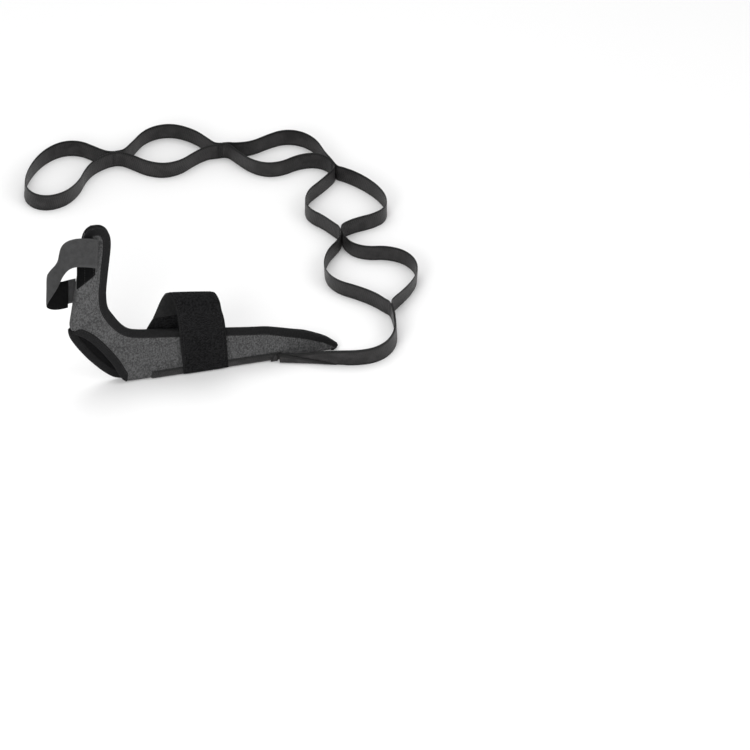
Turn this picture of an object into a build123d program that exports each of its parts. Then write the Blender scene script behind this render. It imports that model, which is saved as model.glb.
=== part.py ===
from build123d import *
import math
import os

# Foot stretching strap: a folded fabric foot sling with an instep strap, an ankle strap and a heel
# opening, and a webbing tail sewn at intervals into five hand loops.
# Frame: millimetres, +X from heel to toe, +Z up, near wall of the sling on -Y. The origin is the
# middle of the flat underside of the sling, and everything stands or lies on the plane Z = 0.

# ---- driving dimensions ----
WEB_WIDTH = 25.0  # webbing, standing on edge
WEB_THICK = 1.6
FABRIC = 0.8  # outer fabric and lining
FOAM = 2.4
WALL_HALF = 8.0  # from the middle plane to the outside of either wall
FOLD_RADIUS = 4.5  # outside radius of the folds
BINDING_WIDTH = 10.0
BINDING_THICK = 0.7
SOLE_TOE = 203.0
SOLE_FRONT_OF_HEEL = -107.0
BASE = WEB_THICK  # the fabric lies on the webbing under it
STRAP_THICK = 2.4
ANKLE_STRAP_WIDTH = 46.0
STITCH = 0.5  # how far a thread stands proud
WALL = 2 * FABRIC + FOAM
REACH = 20.0  # how far the outline prisms run either side of the middle plane

KNEE = (-134.0, 98.0)  # heel pivot, X and Z
KNEE_RADIUS = 20.0
KNEE_GAP = 0.6
INNER_RAY = 50.0  # direction from the pivot to the inner corner, degrees from +X
OUTER_RAY = 230.0  # and to the heel
INNER_GAP = 10.0  # half the wedge left open either side of those rays, degrees
OUTER_GAP = 9.0

FOLD_FOOT = (-183.0, 96.0)  # lower end of the fold up the back of the ankle, X and Z
FOLD_HEAD = (-162.0, 257.0)
FOLD_LEAN = math.degrees(math.atan2(FOLD_HEAD[0] - FOLD_FOOT[0], FOLD_HEAD[1] - FOLD_FOOT[1]))

# sewn bars between the loops, X and Y, counted from the far end, and the way to the loop before each
BARS = {1: (18, 505), 2: (167, 486), 3: (305, 399), 4: (273, 242), 5: (294, 48)}
TOWARDS_FREE_END = {1: (-1, 0.05), 2: (-1, 0.05), 3: (-0.15, 1), 4: (0.05, 1), 5: (0.03, 1)}
BAR_GAP = 2.4  # from a hinge line to the rounded end of the webbing on either side
PAD = 8.0  # from a hinge line to where the two layers part
LAYER_GAP = 0.1

TAIL_BAR = (116.0, -13.0)
TAIL_ROUTE = [(130, -18), (160, -27), (190, -39), (217, -48), (244, -49), (266, -38), (282, -18), (290, 7)]
SEWN_WEB = (-66.0, 120.0)  # where the webbing is sewn along the fold, X
SEWN_HEIGHT = 13.6  # how far it stands up the near wall

INSTEP_HINGE = (10.0, 90.0)  # Y and Z of the line where the instep strap bends over the far wall
ANKLE_HINGE = (-145.6, -11.0)  # X and Y of the upright line where the ankle strap folds back


def unit(v):
    length = math.hypot(*v)
    return (v[0] / length, v[1] / length)


def save(node, shape):
    """Write one node; a list is a group of separate solids."""
    shape = Compound(children=shape) if isinstance(shape, list) else shape
    shape.label = node
    export_step(shape, f"parts/{node}.step")
    print(f"{node:28s} solids {len(shape.solids())}  volume {shape.volume:9.1f} mm3")


# ---- flat webbing that stands on edge along a route ----
def corner_radii(points):
    """Each arc is as large as its two runs allow."""
    radii = []
    for before, at, after in zip(points, points[1:], points[2:]):
        one = Vector(*at) - Vector(*before)
        two = Vector(*after) - Vector(*at)
        half_turn = math.radians(one.get_angle(two)) / 2
        radii.append(0.45 * min(one.length, two.length) / math.tan(half_turn))
    return radii


def band(name, points):
    """Webbing standing on its edge along a route, as runs and tangent arcs."""
    radii = corner_radii(points)
    path = FilletPolyline(*points, radius=radii)
    solid = extrude(trace(path, line_width=WEB_THICK), amount=WEB_WIDTH)
    expected = path.length * WEB_WIDTH * WEB_THICK
    print(f"{name}: length {path.length:.0f} mm, volume {solid.volume / expected:.4f} of section x length")
    print("   radii", ", ".join(f"{r:.0f}" for r in radii))
    return solid


def beside(bar, direction, along, across):
    """A point at a bar, some way along the direction and across it to its left."""
    d = unit(direction)
    return (bar[0] + d[0] * along - d[1] * across, bar[1] + d[1] * along + d[0] * across)


def strand(name, root, tip, left_at_root, left_at_tip, middle):
    """One strand of a loop from the bar nearer the sling to the next; each end has a short doubled pad."""
    layer = (WEB_THICK + LAYER_GAP) / 2
    away = TOWARDS_FREE_END[root]
    back = (-TOWARDS_FREE_END[tip][0], -TOWARDS_FREE_END[tip][1])
    root_side = layer if left_at_root else -layer
    tip_side = layer if left_at_tip else -layer
    points = [beside(BARS[root], away, BAR_GAP, root_side), beside(BARS[root], away, PAD, root_side)]
    points += middle
    points += [beside(BARS[tip], back, PAD, tip_side), beside(BARS[tip], back, BAR_GAP, tip_side)]
    return band(name, points)


def bar_tack(bar, direction, offset=4.0, layers=2):
    """Two upright rows of thread, one on each outer face of the doubled webbing."""
    d = unit(direction)
    reach = layers * WEB_THICK / 2 + (layers - 1) * LAYER_GAP / 2
    turn = math.degrees(math.atan2(d[1], d[0]))
    rows = []
    for side in (-1, 1):
        x, y = beside(bar, direction, offset, side * (reach + STITCH / 2))
        rows.append(Pos(x, y, WEB_WIDTH / 2) * Rot(0, 0, turn) * Box(2.0, STITCH, WEB_WIDTH - 4))
    return rows


# ---- the folded laminate ----
def fold_profile(inset):
    """A channel section open towards +Y of its sketch, inset from the outside of the laminate."""
    half = WALL_HALF - inset
    block = Pos(0, 200) * Rectangle(2 * half, 400 - 2 * inset)
    corners = block.vertices().sort_by(Axis.Y)[:2]
    return fillet(corners, FOLD_RADIUS - inset)


def sole_layer(outer, inner):
    """One layer of the sling under the foot, folded along the bottom."""
    profile = fold_profile(outer) - fold_profile(inner)
    return extrude(Plane.YZ.offset(-250) * Pos(0, BASE) * profile, amount=500)


def along_back(profile):
    """A channel section run along the fold up the back of the ankle."""
    upright = extrude(Pos(0, 0, -60) * Rot(0, 0, -90) * profile, amount=320)
    return Pos(FOLD_FOOT[0], 0, FOLD_FOOT[1]) * Rot(0, FOLD_LEAN, 0) * upright


def cuff_layer(outer, inner):
    """One layer of the part behind the ankle, folded along its back."""
    return along_back(fold_profile(outer) - fold_profile(inner))


BACK_FOOT = (FOLD_FOOT[0] - 3, FOLD_FOOT[1])  # the outlines pass just behind the fold
BACK_HEAD = (FOLD_HEAD[0] - 3, FOLD_HEAD[1])
NEAR_RIM = [(-171, 93), (-155, 80), (-140, 62), (-122, 36)]
FAR_RIM = [(-181, 80), (-168, 60), (-152, 40), (-132, 18)]


def side_outline(heel_rim):
    """The whole L of one wall, seen from the side, as a face in X and Z."""
    top = [(SOLE_TOE, 6), (186, 25), (156, 42), (100, 63), (20, 76), (-50, 82), (-88, 90), (-112, 104)]
    inner = [(-127, 126), (-133, 156), (-131, 195), (-127, 236)]
    tip = [(-130, 264), (-144, 277), (-159, 273)]
    points = [(SOLE_FRONT_OF_HEEL, 0), (SOLE_TOE - 4, 0)] + top + inner + tip + [BACK_HEAD, BACK_FOOT] + heel_rim
    ring = [points[-1]] + points + [points[0]]
    radii = [min(radius, 200) for radius in corner_radii(ring)]
    return make_face(FilletPolyline(*points, radius=radii, close=True))


def sector(start, end, reach=460):
    """A wedge about the heel pivot, from one direction round to another, in degrees."""
    points = [KNEE]
    for step in range(9):
        angle = math.radians(start + (end - start) * step / 8)
        points.append((KNEE[0] + reach * math.cos(angle), KNEE[1] + reach * math.sin(angle)))
    return make_face(Polyline(*points, close=True))


CUFF_MASK = sector(INNER_RAY + INNER_GAP, OUTER_RAY - OUTER_GAP) + Pos(*KNEE) * Circle(KNEE_RADIUS)
SOLE_MASK = sector(OUTER_RAY + OUTER_GAP, 360 + INNER_RAY - INNER_GAP)
SOLE_MASK -= Pos(*KNEE) * Circle(KNEE_RADIUS + KNEE_GAP)


def wall_prisms(near, far):
    """Side outlines given their depth: the near one runs to -Y and the far one to +Y."""
    return extrude(Plane.XZ * near, amount=REACH) + extrude(Plane.XZ * far, amount=-REACH)


def plate(face, near_y, far_y):
    """A side outline made solid between two places across the sling."""
    return extrude(Plane.XZ.offset(-far_y) * face, amount=far_y - near_y)


def tape_regions():
    """Where the tape runs along the inside of the L and round its tip, and where it rims the heel."""
    inside = [(225, 4), (225, 160), (-60, 200), (-60, 300), (-200, 300), (-152, 262), (-151, 130)]
    inside += [(-128, 97), (-98, 80), (40, 58), (150, 22), (188, 4)]
    heel = [(-178, 40), (-178, 110), (-165, 110), (-135, 86), (-112, 58), (-94, 20), (-94, 3), (-130, 3)]
    return make_face(Polyline(*inside, close=True)), make_face(Polyline(*heel, close=True))


def edge_tapes(near, far, region, fold):
    """A tape folded over the free edge of each wall, clear of the fold inside it; two separate solids."""
    tapes = []
    for outline, low, high in ((near, -WALL_HALF, WALL - WALL_HALF), (far, WALL_HALF - WALL, WALL_HALF)):
        legs = (outline - offset(outline, -BINDING_WIDTH)) & region
        edge = (outline - offset(outline, -BINDING_THICK)) & region
        tape = plate(edge, low - BINDING_THICK, high + BINDING_THICK)
        for y in (low - BINDING_THICK, high):
            tape += plate(legs - fold, y, y + BINDING_THICK)
        tapes.append(tape.solids().sort_by(SortBy.VOLUME)[-1])
    return tapes


def sling(near, far):
    """The folded laminate and its tapes, in a part under the foot and a part behind the ankle."""
    walls = wall_prisms(offset(near, -BINDING_THICK), offset(far, -BINDING_THICK))
    inside, heel = tape_regions()
    depth = 2 * (WALL + 0.5)
    under_fold = Pos(0, BASE) * Rectangle(500, depth)
    back_fold = Pos(*FOLD_FOOT) * Rot(0, 0, -FOLD_LEAN) * Rectangle(depth, 500)
    halves = (("sole", sole_layer, SOLE_MASK, under_fold), ("cuff", cuff_layer, CUFF_MASK, back_fold))
    for body, layer, mask, fold in halves:
        cutter = walls & plate(mask, -REACH, REACH)
        depths = (("outer_fabric", 0, FABRIC), ("foam", FABRIC, FABRIC + FOAM), ("lining", FABRIC + FOAM, WALL))
        for name, outer, inner in depths:
            save(f"{body}_{name}", (layer(outer, inner) & cutter).solids().sort_by(SortBy.VOLUME)[-1])
        save(f"{body}_edge_binding", edge_tapes(near, far, inside & mask, fold))
        save(f"{body}_heel_binding", edge_tapes(near, far, heel & mask, fold))


def sewn_webbing():
    """The webbing sewn along the fold: up the near wall, round the fold and under it."""
    middle = WALL_HALF + WEB_THICK / 2
    path = FilletPolyline(
        (-middle, SEWN_HEIGHT),
        (-middle, WEB_THICK / 2),
        (4, WEB_THICK / 2),
        radius=FOLD_RADIUS + WEB_THICK / 2,
    )
    start, end = SEWN_WEB
    save("sole_webbing", extrude(Plane.YZ.offset(start) * trace(path, line_width=WEB_THICK), amount=end - start))
    outside = -WALL_HALF - WEB_THICK
    row = Pos((start + end) / 2, outside - STITCH / 2, SEWN_HEIGHT - 2) * Box(end - start - 22, STITCH, 1.2)
    cross = Pos(start + 4, outside - STITCH / 2, 9) * Box(1.4, STITCH, 8)
    save("sole_webbing_stitching", [row, cross])
    last = TAIL_BAR[0] - BAR_GAP
    cut_end = Polyline((last - 9.6, 0.8), (last - 3.6, 12.5), (last, 12.5), (last - 0.6, 0.8), close=True)
    save("tail_end_fold", plate(make_face(cut_end), outside - WEB_THICK, outside))


def instep_strap():
    """A wide band from the far wall over the foot and down the near wall."""
    near_y = -WALL_HALF - WEB_THICK - 1.4 - STRAP_THICK / 2
    far_y, hinge_z = INSTEP_HINGE
    arch = FilletPolyline(
        (near_y, 2),
        (near_y, 92),
        (-19, 110),
        (-9, 133),
        (9, 133),
        (19, 112),
        (far_y, 100),
        (far_y, hinge_z + 1.8),
        radius=[9, 12, 10, 10, 9, 5],
    )
    band_solid = extrude(Plane.YZ.offset(-100) * trace(arch, line_width=STRAP_THICK), amount=200)
    near_leg = Polyline((-21, 3), (44, 3), (40, 73), (35, 106), (27, 150), (-41, 150), (-33, 120), (-27, 85), close=True)
    far_leg = Polyline((-60, 80), (-40, 128), (-41, 150), (27, 150), (28, 128), (10, 80), close=True)
    outline = plate(make_face(near_leg), -40, 0) + plate(make_face(far_leg), 0, 40)
    save("instep_strap_band", (band_solid & outline).solids().sort_by(SortBy.VOLUME)[-1])
    inner_face = near_y + STRAP_THICK / 2
    save("instep_strap_hook_pad", Pos(9, inner_face + 0.45, 26) * Box(52, 0.9, 40))
    anchor = Polyline((-77, 54), (-7, 54), (9, hinge_z - 1.8), (-59, hinge_z - 1.8), close=True)
    inside = WALL_HALF + BINDING_THICK
    save("instep_strap_anchor", plate(make_face(anchor), inside, inside + STRAP_THICK))
    rows = []
    for z in (58, 70):
        shift = (z - 54) * 0.5
        rows.append(Pos(-42 + shift, inside + STRAP_THICK + STITCH / 2, z) * Box(60, STITCH, 1.4))
    save("instep_anchor_stitching", rows)


def ankle_strap():
    """A band sewn to the near wall that folds back on itself and sweeps round behind the ankle."""
    hinge_x, hinge_y = ANKLE_HINGE
    route = Spline(
        (hinge_x, hinge_y - 1.2, 231),
        (-148, -17, 234),
        (-156, -21, 239),
        (-168, -24, 245),
        (-183, -27, 249),
        (-195, -28.5, 247),
        (-202, -27.5, 235),
        (-205, -25, 219),
        (-211, -21.5, 205),
        (-219, -16, 187),
        (-218, -10.5, 176),
        (-208, -5, 167),
        (-196, 0, 161),
        (-184.5, 3.4, 159),
    )
    sections = []
    count = 26
    for step in range(count + 1):
        at = route.position_at(step / count)
        along = route.tangent_at(step / count)
        flat = Vector(along.X, along.Y, 0).normalized()
        sections.append(Plane(at, x_dir=flat.cross(Vector(0, 0, 1)), z_dir=flat) * Rectangle(2.0, ANKLE_STRAP_WIDTH))
    strap = loft(sections, ruled=True)
    save("ankle_strap_band", strap)
    hook_pad = (Pos(-189.5, 4.5, 159) * Box(9, 1.8, 36) - strap).solids().sort_by(Axis.Y)[-1]
    save("ankle_strap_hook_pad", hook_pad)
    base = Polyline((-166, 179), (-148, 191), (-148, 252), (-162, 246), close=True)
    save("ankle_strap_base", plate(make_face(base), -WALL_HALF - 2.0, -WALL_HALF))
    rows = []
    for x in (-163, -151):
        rows.append(Pos(x, -WALL_HALF - 2.0 - STITCH / 2, 218) * Box(1.4, STITCH, 48))
    save("ankle_base_stitching", rows)
    tab = Pos(-181, 6.7, 159) * Box(22, 1.8, 40) - along_back(fold_profile(0))
    save("ankle_strap_tab", tab.solids().sort_by(SortBy.VOLUME)[-1])


def shifted(points, distance):
    """The same route moved sideways by a distance, to its left."""
    moved = []
    for i, at in enumerate(points):
        before = points[max(i - 1, 0)]
        after = points[min(i + 1, len(points) - 1)]
        d = unit((after[0] - before[0], after[1] - before[1]))
        moved.append((at[0] - d[1] * distance, at[1] + d[0] * distance))
    return moved


def tail():
    """Two layers of webbing from the toe of the sling to the first sewn bar."""
    heading = unit((TAIL_ROUTE[0][0] - TAIL_BAR[0], TAIL_ROUTE[0][1] - TAIL_BAR[1]))
    start = beside(TAIL_BAR, heading, BAR_GAP, 0)
    back = (-TOWARDS_FREE_END[5][0], -TOWARDS_FREE_END[5][1])
    route = [start] + TAIL_ROUTE + [beside(BARS[5], back, PAD, 0), beside(BARS[5], back, BAR_GAP, 0)]
    layer = (WEB_THICK + LAYER_GAP) / 2
    save("tail_inner_webbing", band("tail_inner_webbing", shifted(route, layer)))
    save("tail_outer_webbing", band("tail_outer_webbing", shifted(route, -layer)))
    save("tail_bar_tack", bar_tack(TAIL_BAR, heading))


# middle points of each strand, from the bar nearer the sling to the bar further out
STRANDS = {
    "loop_5_right": (5, 4, False, True,
        [(301, 64), (315, 77), (334, 96), (350, 120), (354, 148), (344, 173), (322, 189), (299, 193), (281, 206),
         (274, 224)]),
    "loop_5_left": (5, 4, True, False,
        [(289, 62), (277, 84), (258, 106), (238, 124), (228, 148), (231, 176), (244, 202), (262, 220)]),
    "loop_4_right": (4, 3, False, True,
        [(282, 257), (302, 263), (326, 266), (347, 277), (355, 302), (349, 332), (334, 362), (315, 386)]),
    "loop_4_left": (4, 3, True, False,
        [(269, 257), (258, 282), (245, 299), (241, 320), (252, 346), (276, 364), (295, 380)]),
    "loop_3_far": (3, 2, False, True,
        [(300, 433), (296, 461), (281, 485), (258, 495), (233, 489), (209, 480), (186, 482)]),
    "loop_3_near": (3, 2, True, False,
        [(297, 420), (283, 430), (260, 430), (236, 421), (213, 424), (195, 441), (182, 468)]),
    "loop_2_far": (2, 1, False, True,
        [(152, 499), (140, 527), (118, 549), (94, 554), (69, 545), (48, 521), (34, 508)]),
    "loop_2_near": (2, 1, True, False,
        [(145, 486), (125, 477), (101, 461), (76, 458), (54, 470), (37, 492)]),
}


def loops():
    for name, (root, tip, left_at_root, left_at_tip, middle) in STRANDS.items():
        save(name, strand(name, root, tip, left_at_root, left_at_tip, middle))
    layer = (WEB_THICK + LAYER_GAP) / 2
    away = TOWARDS_FREE_END[1]
    first = [beside(BARS[1], away, BAR_GAP, -layer), beside(BARS[1], away, PAD, -layer)]
    last = [beside(BARS[1], away, PAD, layer), beside(BARS[1], away, BAR_GAP, layer)]
    round_the_end = [(-6, 521), (-22, 541), (-45, 547), (-71, 537), (-95, 516), (-116, 486), (-126, 456)]
    round_the_end += [(-117, 432), (-96, 423), (-70, 430), (-48, 450), (-33, 475), (-16, 493)]
    save("loop_1_end", band("loop_1_end", first + round_the_end + last))
    for number, direction in TOWARDS_FREE_END.items():
        save(f"loop_{number}_bar_tack", bar_tack(BARS[number], direction))


def main():
    os.makedirs("parts", exist_ok=True)
    sling(side_outline(NEAR_RIM), side_outline(FAR_RIM))
    sewn_webbing()
    instep_strap()
    ankle_strap()
    tail()
    loops()


main()
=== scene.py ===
import math

import bpy
import numpy as np
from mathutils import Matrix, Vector


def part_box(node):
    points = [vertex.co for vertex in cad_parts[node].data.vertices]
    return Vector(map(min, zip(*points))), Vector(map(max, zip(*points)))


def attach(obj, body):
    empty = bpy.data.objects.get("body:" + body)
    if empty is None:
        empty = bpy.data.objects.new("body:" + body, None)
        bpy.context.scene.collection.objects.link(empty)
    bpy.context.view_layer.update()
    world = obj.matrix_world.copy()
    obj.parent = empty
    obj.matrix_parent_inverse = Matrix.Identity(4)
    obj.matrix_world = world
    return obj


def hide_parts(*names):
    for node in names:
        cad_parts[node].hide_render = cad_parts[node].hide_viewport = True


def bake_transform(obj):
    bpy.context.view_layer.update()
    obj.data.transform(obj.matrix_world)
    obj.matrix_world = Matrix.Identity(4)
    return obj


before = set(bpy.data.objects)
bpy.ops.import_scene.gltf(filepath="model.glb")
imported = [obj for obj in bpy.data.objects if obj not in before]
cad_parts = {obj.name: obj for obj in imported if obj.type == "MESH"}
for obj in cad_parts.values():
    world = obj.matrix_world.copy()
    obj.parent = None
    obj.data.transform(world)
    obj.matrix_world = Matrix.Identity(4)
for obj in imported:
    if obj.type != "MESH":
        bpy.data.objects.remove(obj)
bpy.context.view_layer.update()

bl_info = {
    "name": "Foot stretching strap",
    "version": (1, 0, 0),
    "blender": (4, 5, 0),
    "location": "View3D > Sidebar > Stretching strap",
    "description": "Builds the sling, straps, webbing loops and stitching of a foot stretching strap",
    "category": "Object",
}

UP = np.array((0.0, 0.0, 1.0))

# ---- sizes shared by the pieces, in metres ----
WEB_WIDTH = 0.025
WEB_THICK = 0.0016
WALL_MIDDLE = 0.006  # from the middle plane to the middle of either wall
MIN_HALF = 0.0031  # the same where the walls are pressed together
LAYER_SIDE = 0.00085  # either webbing layer at a sewn bar
BAR_EDGE = 0.0002  # where a strand starts, from the bar's middle
BAR_REACH = 0.008  # how far the layers stay together at a bar
TAIL_BAR = (0.116, -0.0130)
TAIL_FOLDED = 0.0125  # height of the webbing where its sewn end is folded in half
VIEW_CENTRE = (0.2336, -0.0871, 0.0068)
VIEW_TOWARDS = (-0.2120, -0.7912, 0.5736)  # from the centre to the camera
VIEW_WIDTH = 1.0425
VIEW_DISTANCE = 4.0

# sewn bars between the loops, counted from the far end, and the way to the next loop out
BARS = {1: (0.018, 0.505), 2: (0.167, 0.486), 3: (0.305, 0.399), 4: (0.273, 0.242), 5: (0.294, 0.048)}
OUTWARDS = {1: (-1, 0.05), 2: (-1, 0.05), 3: (-0.15, 1), 4: (0.05, 1), 5: (0.03, 1)}
TAIL_ROUTE = [(0.130, -0.018), (0.160, -0.027), (0.190, -0.039), (0.217, -0.048),
              (0.244, -0.049), (0.266, -0.038), (0.282, -0.018), (0.290, 0.007)]

# each strand: bar nearer the sling, bar further out, on the left of either bar, points between
STRANDS = {
    "loop_5_right": (5, 4, False, True, [
        (0.301, 0.064), (0.315, 0.077), (0.334, 0.096), (0.35, 0.12), (0.354, 0.148),
        (0.344, 0.173), (0.322, 0.189), (0.299, 0.193), (0.281, 0.206), (0.274, 0.224)]),
    "loop_5_left": (5, 4, True, False, [
        (0.289, 0.062), (0.277, 0.084), (0.258, 0.106), (0.238, 0.124), (0.228, 0.148),
        (0.231, 0.176), (0.244, 0.202), (0.262, 0.22)]),
    "loop_4_right": (4, 3, False, True, [
        (0.282, 0.257), (0.302, 0.263), (0.326, 0.266), (0.347, 0.277), (0.355, 0.302),
        (0.349, 0.332), (0.334, 0.362), (0.315, 0.386)]),
    "loop_4_left": (4, 3, True, False, [
        (0.269, 0.257), (0.258, 0.282), (0.245, 0.299), (0.241, 0.32), (0.252, 0.346),
        (0.276, 0.364), (0.295, 0.38)]),
    "loop_3_far": (3, 2, False, True, [
        (0.3, 0.433), (0.296, 0.461), (0.281, 0.485), (0.258, 0.495), (0.233, 0.489),
        (0.209, 0.48), (0.186, 0.482)]),
    "loop_3_near": (3, 2, True, False, [
        (0.297, 0.42), (0.283, 0.43), (0.26, 0.43), (0.236, 0.421), (0.213, 0.424),
        (0.195, 0.441), (0.182, 0.468)]),
    "loop_2_far": (2, 1, False, True, [
        (0.152, 0.499), (0.14, 0.527), (0.118, 0.549), (0.094, 0.554), (0.069, 0.545),
        (0.048, 0.521), (0.034, 0.508)]),
    "loop_2_near": (2, 1, True, False, [
        (0.145, 0.486), (0.125, 0.477), (0.101, 0.461), (0.076, 0.458), (0.054, 0.47),
        (0.037, 0.492)]),
}
LOOP_1_END = [(-0.006, 0.521), (-0.022, 0.541), (-0.045, 0.547), (-0.071, 0.537), (-0.095, 0.516),
              (-0.116, 0.486), (-0.126, 0.456), (-0.117, 0.432), (-0.096, 0.423), (-0.07, 0.43),
              (-0.048, 0.45), (-0.033, 0.475), (-0.016, 0.493)]

# stations along the folded L: bottom edge or heel rim of the near wall, the same of the far wall,
# and the bound edge above, each X and Z in metres
STATIONS = [
    ((0.199, 0.0016), (0.199, 0.0016), (0.202, 0.006)),
    ((0.186, 0.0016), (0.186, 0.0016), (0.187, 0.021)),
    ((0.156, 0.0016), (0.156, 0.0016), (0.156, 0.038)),
    ((0.100, 0.0016), (0.100, 0.0016), (0.100, 0.0555)),
    ((0.060, 0.0016), (0.060, 0.0016), (0.060, 0.0610)),
    ((0.020, 0.0016), (0.020, 0.0016), (0.020, 0.0665)),
    ((-0.050, 0.0016), (-0.050, 0.0016), (-0.050, 0.0770)),
    ((-0.080, 0.0016), (-0.080, 0.0016), (-0.079, 0.0815)),
    ((-0.104, 0.0016), (-0.106, 0.0016), (-0.094, 0.0855)),
    ((-0.110, 0.0110), (-0.117, 0.0050), (-0.101, 0.0895)),
    ((-0.122, 0.0370), (-0.133, 0.0185), (-0.108, 0.0955)),
    ((-0.139, 0.0620), (-0.153, 0.0410), (-0.1150, 0.1035)),
    ((-0.155, 0.0820), (-0.168, 0.0620), (-0.1210, 0.1120)),
    ((-0.171, 0.0945), (-0.180, 0.0820), (-0.1262, 0.1210)),
    ((-0.183, 0.0985), (-0.184, 0.0960), (-0.1295, 0.1290)),
    ((-0.1800, 0.1200), (-0.1800, 0.1200), (-0.1318, 0.1400)),
    ((-0.1762, 0.1500), (-0.1762, 0.1500), (-0.1325, 0.1580)),
    ((-0.1701, 0.1950), (-0.1701, 0.1950), (-0.1294, 0.1950)),
    ((-0.1655, 0.2300), (-0.1655, 0.2300), (-0.1254, 0.2330)),
    ((-0.1642, 0.2420), (-0.1642, 0.2420), (-0.1252, 0.2460)),
    ((-0.1637, 0.2470), (-0.1637, 0.2470), (-0.1272, 0.2575)),
    ((-0.1632, 0.2515), (-0.1632, 0.2515), (-0.1330, 0.2660)),
    ((-0.1622, 0.2555), (-0.1622, 0.2555), (-0.1415, 0.2702)),
    ((-0.1605, 0.2590), (-0.1605, 0.2590), (-0.1520, 0.2680)),
]
TIP_END = [(-0.1570, 0.2645), (-0.1610, 0.2590), (-0.1630, 0.2520), (-0.1641, 0.2440), (-0.1648, 0.2370)]
TIP_MIDDLE = (-0.145, 0.249)
FAR_DROP = 0.0040  # how much lower the far wall's bound edge lies beside the foot
FIRST_RIM, LAST_RIM = 8, 14  # stations between which the heel is open


def length(label, description, default):
    """A length that a user can set."""
    return bpy.props.FloatProperty(name=label, description=description, default=default, unit="LENGTH")


def colour(label, description, default):
    """A colour that a user can set."""
    return bpy.props.FloatVectorProperty(name=label, description=description, default=default, size=3,
                                         subtype="COLOR")


class SizeSettings(bpy.types.PropertyGroup):
    """Sizes of the sewn details."""

    wall: length("Laminate", "Thickness of the laminate", 0.0038)
    tape: length("Binding", "Depth of the tape on each face", 0.0105)
    strap: length("Strap", "Thickness of the instep strap", 0.0024)
    thread: length("Thread", "Radius of a stitch", 0.00028)
    stitch: length("Stitch", "Length of one stitch", 0.0027)
    lean: bpy.props.FloatProperty(name="Lean", description="How far the webbing leans as it lies",
                                  default=0.07, subtype="ANGLE")


class ColourSettings(bpy.types.PropertyGroup):
    """Colours of the cloths and of the floor."""

    fabric_dark: colour("Fabric, dark yarn", "Dark yarn of the heathered fabric", (0.035, 0.035, 0.0355))
    fabric_light: colour("Fabric, light yarn", "Light yarn of the heathered fabric", (0.125, 0.125, 0.1265))
    webbing: colour("Webbing", "Black webbing", (0.0070, 0.0066, 0.0067))
    tape: colour("Binding tape", "Black tape round the edges", (0.0045, 0.0045, 0.0047))
    pile: colour("Loop pile", "Brushed outside of the instep strap", (0.0028, 0.0028, 0.0030))
    band: colour("Ankle band", "Smooth elastic band", (0.025, 0.025, 0.0255))
    floor: colour("Floor", "Plain pale floor", (0.94, 0.94, 0.94))


def sizes():
    """The size settings of the scene."""
    return bpy.context.scene.strap_sizes


def colours():
    """The colour settings of the scene."""
    return bpy.context.scene.strap_colours


FINISHES = {}  # the made materials, by the name of the finish


# ---- shader helpers ----
class Tree:
    """Adds nodes to a node tree and joins them."""

    def __init__(self, tree):
        self.tree = tree

    def add(self, kind, *values, **settings):
        """A new node, with its inputs filled in order and its settings set."""
        node = self.tree.nodes.new(kind)
        for key, value in settings.items():
            if key in node.inputs:
                self.put(node.inputs[key], value)
            else:
                setattr(node, key, value)
        for socket, value in zip(node.inputs, values):
            if value is not None:
                self.put(socket, value)
        return node

    def put(self, socket, value):
        """Joins a socket to another one, or gives it a value."""
        if isinstance(value, bpy.types.NodeSocket):
            self.tree.links.new(value, socket)
        else:
            socket.default_value = value

    def maths(self, operation, *values):
        """The output of a maths node."""
        return self.add("ShaderNodeMath", *values, operation=operation).outputs[0]

    def mix(self, factor, one, two):
        """The output of a colour mix node."""
        node = self.tree.nodes.new("ShaderNodeMix")
        node.data_type = "RGBA"
        for index, value in ((0, factor), (6, one), (7, two)):
            self.put(node.inputs[index], value)
        return node.outputs[2]


def new_group(name, inputs, outputs):
    """An empty shader group with its sockets."""
    group = bpy.data.node_groups.new(name, "ShaderNodeTree")
    for label, kind, value in inputs:
        socket = group.interface.new_socket(name=label, in_out="INPUT", socket_type=kind)
        if value is not None:
            socket.default_value = value
    for label, kind in outputs:
        group.interface.new_socket(name=label, in_out="OUTPUT", socket_type=kind)
    t = Tree(group)
    return group, t, t.add("NodeGroupInput").outputs, t.add("NodeGroupOutput").inputs


def weave_group():
    """Crossing yarns along and across a cloth's own UV map, which is in metres."""
    group, t, given, put = new_group(
        "Woven yarns",
        [("UV", "NodeSocketVector", None), ("Yarns along", "NodeSocketFloat", 900.0),
         ("Yarns across", "NodeSocketFloat", 900.0), ("Twill", "NodeSocketFloat", 0.0)],
        [("Height", "NodeSocketFloat"), ("Crossing", "NodeSocketFloat")])
    uv = t.add("ShaderNodeSeparateXYZ", given["UV"]).outputs
    along = t.maths("MULTIPLY", uv[0], given["Yarns along"])
    across = t.maths("MULTIPLY", uv[1], given["Yarns across"])
    slanted = t.maths("ADD", along, t.maths("MULTIPLY", across, given["Twill"]))
    one = t.maths("SINE", t.maths("MULTIPLY", slanted, 2 * math.pi))
    two = t.maths("SINE", t.maths("MULTIPLY", across, 2 * math.pi))
    both = t.maths("MULTIPLY", one, two)
    ribs = t.maths("MULTIPLY", t.maths("ABSOLUTE", one), 0.4)
    t.put(put["Height"], t.maths("ADD", t.maths("MULTIPLY", both, 0.3), ribs))
    t.put(put["Crossing"], t.maths("ADD", t.maths("MULTIPLY", both, 0.5), 0.5))
    return group


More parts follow.
